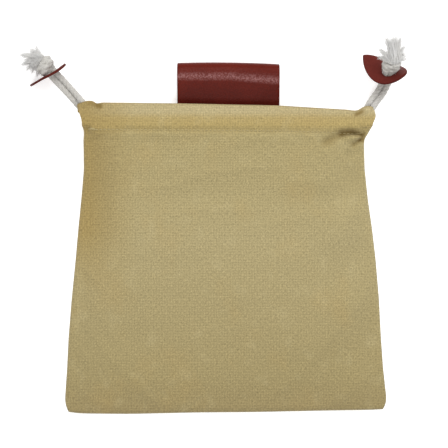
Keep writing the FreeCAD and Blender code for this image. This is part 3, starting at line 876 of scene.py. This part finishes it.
DARKEST = 1.8  # and this much deeper they are as dark as they get
RIM_SHADE = 0.45  # painted shade along the side edges and over the mouth's fold
RIM_COLUMNS = 4


def painted_fold_shade(x, y):
    """Painted shade at the bottom of each deep fold, from 0 to 1."""
    deep = sum(ridge(x, y, start, end, width, min(1.0, (DEEP - height) / DARKEST))
               for start, end, width, height in FOLDS if height < DEEP)
    return np.clip(deep, 0, 1)


def soft_noise(x, y, size, seed):
    """Slow, smooth, repeatable unevenness made of a few sine waves, about -1 to 1."""
    chance = random.Random(seed)
    total = np.zeros_like(x)
    for _ in range(7):
        heading = chance.uniform(0, math.pi)
        wave = size * chance.uniform(0.7, 1.6)
        phase = chance.uniform(0, 2 * math.pi)
        along = x * math.cos(heading) + y * math.sin(heading)
        total += np.sin(along * 2 * math.pi / wave + phase)
    return total / 3.2


def edge_distance(x, nominal):
    return np.minimum(x - LEFT_EDGE(nominal), RIGHT_EDGE(nominal) - x)


def lane(y):
    """1 where the cords run through the casings, whose ends stay open for them."""
    return smoothstep(89.5, 92.5, y) * (1 - smoothstep(103.0, 106.5, y))


def bell(value, middle, width):
    return np.exp(-0.5 * ((value - middle) / width) ** 2)


def front_z(x, y, nominal, slack):
    """Height of the front cloth's middle. slack is the simulated rise and fall of the cloth."""
    inward, upward = edge_distance(x, nominal), nominal - HEM_Y
    # the rounded edge, and the crown of the bag over it
    low = SEAM_Z(nominal) + smoothstep(SEAM_TOP_Y, 99, nominal) * 2.8
    from_edge = np.clip(np.minimum(inward, upward) / LIP, 0, 1)
    rise = np.clip(CROWN_Z(nominal) - low - LIP, 0, None)
    z = low + LIP * np.sqrt(1 - (1 - from_edge) ** 2) + rise * smoothstep(-4, 30, inward)
    # the casing, its stitched groove and the puckers beside it
    in_casing = smoothstep(88.5, 93.5, nominal) * (1 - smoothstep(101.5, 107.8, nominal))
    z += in_casing * 0.7 * smoothstep(2, 9, inward)
    pucker = 0.75 + 0.25 * np.sin(x * 2 * math.pi / 9.7 + np.sin(x * 0.13) * 2.0)
    z -= bell(nominal, STITCH_Y, 1.2) * 0.6 * pucker * smoothstep(0, 6, inward)
    z += 0.28 * np.sin(x * 2 * math.pi / 13.3 + np.sin(x * 0.09) * 3) * bell(nominal, 93, 4.5)
    # unevenness and folds
    middle = smoothstep(0, 26, inward) * smoothstep(0, 22, upward)
    middle *= 1 - smoothstep(78, 87, nominal)
    z += middle * (0.8 * soft_noise(x, y, 90, 3) + 0.35 * soft_noise(x, y, 36, 5))
    near = smoothstep(0, 3.5, inward) * smoothstep(0, 12, upward)
    z += near * sum(ridge(x, y, *fold) for fold in FOLDS)
    # room for the cords, with a soft start near the left corner
    eased = smoothstep(79, 92, y) * smoothstep(2, 9, inward) * (1 - smoothstep(-98, -78, x))
    z += np.maximum(lane(y), eased) * np.clip(OPEN_FRONT_Z - z, 0, None)
    return z + slack


def back_z(x, y, nominal, slack):
    """Height of the back cloth's middle; it lies on the table and on the belt loop."""
    inward = edge_distance(x, nominal)
    low = BACK_Z(nominal)
    rim = SEAM_Z(nominal) - smoothstep(SEAM_TOP_Y, 99, nominal) * 7.4 - smoothstep(99, 108, nominal)
    lift = np.clip(rim - low, 0, None)
    z = low + lift * (1 - smoothstep(0, 9, inward)) ** 2
    in_casing = smoothstep(89, 94, nominal) * (1 - smoothstep(102, 107.8, nominal))
    z += (1 - in_casing) * smoothstep(88, 90, nominal) * 1.1
    z -= lane(y) * np.clip(z - OPEN_BACK_Z, 0, None)
    return z + slack * smoothstep(0, 20, inward)


def facing_depth(x):
    """How far the casing's inner wall comes down: less at the ends, where the cords leave."""
    return 19.5 - 14.5 * smoothstep(86, 99, np.abs(x))


def panel_row(across, nominal, height, slack):
    """x, y and z of a row of a panel's points."""
    flat = np.full(len(across), nominal)
    x, y = bag_xy(across, flat)
    return x, y, height(x, y, flat, slack)


COLUMNS, ROWS, FACING_ROWS = 220, 240, 10
FOLD_ROWS = 6
FOLD_BULGE = 1.3


def sheet_points(height, slack, inner):
    """Grid of one panel, and of its flat cloth: hem to mouth, over the fold, down in the casing."""
    across = np.linspace(0, 1, COLUMNS)
    across = 0.5 - 0.5 * np.cos(across * math.pi) * (1 - 0.35 * np.sin(across * math.pi) ** 2)
    grid, cloth = [], []

    def lay(x, y, z, flat_y):
        grid.append(np.stack([x, y, z], axis=1))
        cloth.append(np.stack([x, flat_y], axis=1))

    for nominal in HEM_Y + (MOUTH_Y - HEM_Y) * np.linspace(0, 1, ROWS):
        x, y, z = panel_row(across, nominal, height, slack(across, nominal))
        lay(x, y, z, y - HEM_Y)
    fold = 0.5 * (z + inner)
    for k in range(1, FOLD_ROWS):
        angle = math.pi * k / FOLD_ROWS
        bulge = FOLD_BULGE * math.sin(angle)
        lay(x, y + bulge, fold + (z - fold) * math.cos(angle), y - HEM_Y + k)
    for k in range(FACING_ROWS):
        down = k / (FACING_ROWS - 1) * facing_depth(x)
        wave = 0.25 * np.sin(x * 0.11 + k * 0.4) * (k > 0)
        lay(x, y - down, inner + wave, y - HEM_Y + FOLD_ROWS + down)
    return np.array(grid), np.array(cloth)


SIM_SCALE = 10.0  # the solver is steadier on metre-sized cloth
SIM_COLUMNS, SIM_ROWS = 66, 60
SIM_TOP_Y = 86.0
SIM_FRAMES = 26
SUPPORT_DEPTH = 2.4  # the inside of the bag is this far under the cloth
SLACK_SHARE = 0.35
SLACK_CAP = 1.6
CLOTH_SETTINGS = {
    "quality": 6, "mass": 0.35, "tension_stiffness": 25.0, "compression_stiffness": 25.0,
    "shear_stiffness": 8.0, "bending_stiffness": 1.4, "tension_damping": 12.0,
    "shrink_min": -0.022, "shrink_max": -0.022,
}


def sim_mesh(name, grid):
    mesh = bpy.data.meshes.new(name)
    points = (grid.reshape(-1, 3) * MM * SIM_SCALE).tolist()
    mesh.from_pydata(points, [], grid_faces(SIM_ROWS, SIM_COLUMNS))
    return add_object(name, mesh)


def settle_cloth():
    """Let a slightly oversized front panel fall on the bag's inside; returns its rise and fall."""
    across = np.linspace(0, 1, SIM_COLUMNS)
    heights = np.linspace(HEM_Y, SIM_TOP_Y, SIM_ROWS)
    rows = [panel_row(across, nominal, front_z, 0.0) for nominal in heights]
    grid = np.stack(rows).transpose(0, 2, 1)
    support = grid.copy()
    support[:, :, 2] -= SUPPORT_DEPTH
    pillow = sim_mesh("pillow", support)
    pillow.modifiers.new("collision", "COLLISION")
    pillow.collision.thickness_outer = 0.004
    pillow.collision.cloth_friction = 8.0
    panel = sim_mesh("falling_panel", grid)
    rim = np.ones((SIM_ROWS, SIM_COLUMNS), bool)
    rim[1:-1, 1:-1] = False
    held = panel.vertex_groups.new(name="held")
    held.add(np.flatnonzero(rim).tolist(), 1.0, "REPLACE")
    cloth = panel.modifiers.new("cloth", "CLOTH")
    cloth.settings.vertex_group_mass = "held"
    for name, value in CLOTH_SETTINGS.items():
        setattr(cloth.settings, name, value)
    cloth.collision_settings.distance_min = 0.006
    cloth.collision_settings.use_self_collision = False
    scene.frame_start, scene.frame_end = 1, SIM_FRAMES
    for step in range(1, SIM_FRAMES + 1):
        scene.frame_set(step)
    settled = panel.evaluated_get(bpy.context.evaluated_depsgraph_get())
    co = np.zeros(len(settled.data.vertices) * 3, np.float32)
    settled.data.vertices.foreach_get("co", co)
    moved = co.reshape(SIM_ROWS, SIM_COLUMNS, 3)[:, :, 2] / (MM * SIM_SCALE) - grid[:, :, 2]
    scene.frame_set(1)
    for used in (panel, pillow):
        bpy.data.objects.remove(used)
    moved = SLACK_CAP * np.tanh(SLACK_SHARE * moved / SLACK_CAP)

    def slack(shares, nominal):
        row = np.clip((nominal - HEM_Y) / (SIM_TOP_Y - HEM_Y) * (SIM_ROWS - 1), 0, SIM_ROWS - 1.001)
        low = int(row)
        line = moved[low] * (1 - row + low) + moved[low + 1] * (row - low)
        return np.interp(shares, across, line) * (1 - smoothstep(80, SIM_TOP_Y, nominal))

    return slack


def no_slack(shares, nominal):
    return np.zeros_like(shares)


front_slack = settle_cloth()


def paint_fold_and_rim_shade(piece, grid):
    """Paint shade on a panel: in its deep folds, along its side edges and over its mouth's fold."""
    dark = painted_fold_shade(grid[:, :, 0], grid[:, :, 1])
    column = np.arange(COLUMNS)
    on_rim = np.minimum(column, column[::-1]) < RIM_COLUMNS
    dark = np.maximum(dark, RIM_SHADE * on_rim)
    dark[ROWS:] = np.maximum(dark[ROWS:], RIM_SHADE)
    shade = piece.data.attributes.new("painted_shade", "FLOAT", "POINT")
    shade.data.foreach_set("value", dark.ravel())


def canvas_panel(name, node, height, slack, inner, paint_shade=False):
    """One panel with its casing; inner is the height of the casing's inner wall."""
    grid, cloth = sheet_points(height, slack, inner)
    faces = grid_faces(len(grid), COLUMNS)
    piece = make_mesh(name, grid.reshape(-1, 3), faces, CANVAS, cloth.reshape(-1, 2))
    # the front gets painted shade in its folds and along its edges
    if paint_shade:
        paint_fold_and_rim_shade(piece, grid)
    thicken(piece, CLOTH)
    return dress(piece, node, "pouch")


canvas_front = canvas_panel("canvas_front", "front_panel", front_z, front_slack, 21.0, paint_shade=True)
canvas_back = canvas_panel("canvas_back", "back_panel", back_z, no_slack, 15.5)


STRIP_LENGTHWISE, STRIP_ACROSS = 90, 9
STRIP_WIDTH = 9.0
STRIP_THICK = 1.2
SIDE_SEAM_INSET = 11.0
SIDE_SEAM_Y, SIDE_SEAM_RUN = -118, 186
BOTTOM_SEAM_X, BOTTOM_SEAM_RUN, BOTTOM_SEAM_Y = -98, 196, -141.2


def side_run(edge, inward):
    """Route of a side's seam: place and sideways direction at each share of its length."""
    def run(share):
        y = SIDE_SEAM_Y + SIDE_SEAM_RUN * share
        return float(edge(y)) + inward * SIDE_SEAM_INSET, y, (inward, 0)
    return run


def bottom_run(share):
    return BOTTOM_SEAM_X + BOTTOM_SEAM_RUN * share, BOTTOM_SEAM_Y, (0, 1)


def seam_strip(name, node, run, lift):
    """Seam allowance inside the bag: two layers of cloth with an oversewn edge."""
    points, cloth = [], []
    for k in range(STRIP_LENGTHWISE):
        x, y, sideways = run(k / (STRIP_LENGTHWISE - 1))
        for j in range(STRIP_ACROSS):
            share = j / (STRIP_ACROSS - 1)
            ripple = 0.12 * math.sin(k * 1.3) * share
            px, py = x + sideways[0] * STRIP_WIDTH * share, y + sideways[1] * STRIP_WIDTH * share
            points.append((px, py, float(BACK_Z(y)) + lift + ripple))
            cloth.append((px, py - HEM_Y))
    faces = grid_faces(STRIP_LENGTHWISE, STRIP_ACROSS)
    piece = make_mesh(name, points, faces, CANVAS_INSIDE, cloth)
    thicken(piece, STRIP_THICK)
    return dress(piece, node, "pouch")


strips = [
    seam_strip("left_seam_strip", "left_side_seam", side_run(LEFT_EDGE, 1), 1.7),
    seam_strip("right_seam_strip", "right_side_seam", side_run(RIGHT_EDGE, -1), 1.7),
    seam_strip("bottom_seam_strip", "bottom_seam", bottom_run, 1.5),
]

STITCH_END_X = 106
STITCH_PITCH = 3.3
STITCH_LENGTH = 2.4
TACK_BARS = 11


def pill(start, end, width, thick):
    """One stitch: a short rounded bar, slightly arched."""
    start, end = Vector(start), Vector(end)
    rise = Vector((0, 0, thick))
    line = [start.lerp(end, s) + rise * math.sin(math.pi * s) for s in (0, 0.15, 0.5, 0.85, 1.0)]
    return tube(line, [width * 0.25, width * 0.45, width * 0.5, width * 0.45, width * 0.25], 6)


def on_stitch_line(height, x, off):
    """Point of a panel's stitch line at that x, lifted off the middle of the cloth."""
    left, right = float(LEFT_EDGE(STITCH_Y)), float(RIGHT_EDGE(STITCH_Y))
    px, py, pz = panel_row(np.array([(x - left) / (right - left)]), STITCH_Y, height, 0.0)
    return Vector((px[0], py[0], pz[0])) + Vector((0, 0, off))


def stitch_row(name, node, height, outward, skip=0.0):
    """Stitches on a panel's outer face, except within skip of the middle."""
    parts = []
    off = outward * (CLOTH / 2 + 0.1)
    x = -STITCH_END_X
    while x < STITCH_END_X:
        if abs(x) > skip:
            start = on_stitch_line(height, x, off)
            end = on_stitch_line(height, min(x + STITCH_LENGTH, STITCH_END_X), off)
            parts.append(pill(start, end, 0.75, outward * 0.25))
        x += STITCH_PITCH
    return dress_parts(name, parts, THREAD, node, "pouch")


def bar_tacks():
    """Dense zigzag over the end of each stitch line."""
    parts = []
    for sign in (-1, 1):
        for height, outward in ((front_z, 1), (back_z, -1)):
            for k in range(TACK_BARS):
                x = sign * (STITCH_END_X + 0.5 + 0.5 * k)
                centre = on_stitch_line(height, x, outward * (CLOTH / 2 + 0.15))
                half = Vector((0.25 if k % 2 else -0.25, 1.0, 0))
                parts.append(pill(centre - half, centre + half, 0.55, outward * 0.3))
    return dress_parts("bar_tacks", parts, THREAD, "casing_end_tacks", "pouch")


front_stitches = stitch_row("front_stitches", "front_casing_stitches", front_z, 1)
back_stitches = stitch_row("back_stitches", "back_casing_stitches", back_z, -1, skip=45)
tacks = bar_tacks()

# ---- leather belt loop

STRAP_WIDTH = 84.0
STRAP_X = 2.0
STRAP_COLUMNS = 90
LEATHER_THICK = 1.8
ROLL_Y, ROLL_Z, ROLL_RADIUS = 135.4, 8.8, 7.6
ROLL_STEPS = 26
MID_RADIUS = ROLL_RADIUS - LEATHER_THICK / 2
FLAP_Z = 2.1


def strap_profile():
    """Side view of the front leg and the roll, as (y, z) of the leather's middle."""
    knee_y, knee_z = 108.0, 8.4
    run, drop = ROLL_Y - knee_y, ROLL_Z - knee_z
    rise = math.atan2(drop, run) + math.asin(MID_RADIUS / math.hypot(run, drop))
    leg = Line([(58, 4.1), (75, 4.1), (89, 8.4), (108, 8.4)], 1.5)
    profile = [(y, float(leg(y))) for y in np.arange(58, 105, 1.5)]
    touch = (ROLL_Y - MID_RADIUS * math.sin(rise), ROLL_Z + MID_RADIUS * math.cos(rise))
    climb = Line([(100, 8.4), (knee_y, knee_z), touch], 1.8)
    profile += [(y, float(climb(y))) for y in np.arange(105, touch[0] - 1.0, 1.2)]
    for k in range(ROLL_STEPS + 1):
        angle = math.pi / 2 + rise - (math.pi + rise) * k / ROLL_STEPS
        y, z = MID_RADIUS * math.cos(angle), MID_RADIUS * math.sin(angle)
        profile.append((ROLL_Y + y, ROLL_Z + z))
    return profile


def leather_strip(name, node, profile, body=None):
    """Leather as wide as the belt loop that follows a side view."""
    points = []
    for y, z in profile:
        for k in range(STRAP_COLUMNS):
            share = k / (STRAP_COLUMNS - 1) * 2 - 1
            edge = 1 - smoothstep(0, 0.05, 1 - abs(share))
            x = STRAP_X + share * STRAP_WIDTH / 2
            bulge = (1.1 + 0.9 * (1 - share * share) - 0.5 * share) * smoothstep(112, 134, y)
            points.append((x, y + bulge, z - 0.35 * edge))
    piece = make_mesh(name, points, grid_faces(len(profile), STRAP_COLUMNS), LEATHER)
    thicken(piece, LEATHER_THICK, bevel=0.5)
    return dress(piece, node, body)


leather_strip("belt_loop_leather", "belt_loop_strap", strap_profile(), "pouch")
flap_profile = [(y, FLAP_Z) for y in np.arange(ROLL_Y - 0.1, 56, -1.6)]
belt_flap_leather = leather_strip("belt_flap_leather", "belt_loop_flap", flap_profile)
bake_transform(belt_flap_leather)

CAD_LOOKS = {"snap_caps": BRASS, "snap_studs": BRASS, "strap_stitches": LEATHER_THREAD}
for name, material in CAD_LOOKS.items():
    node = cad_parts[name]
    node.data.materials.clear()
    node.data.materials.append(material)
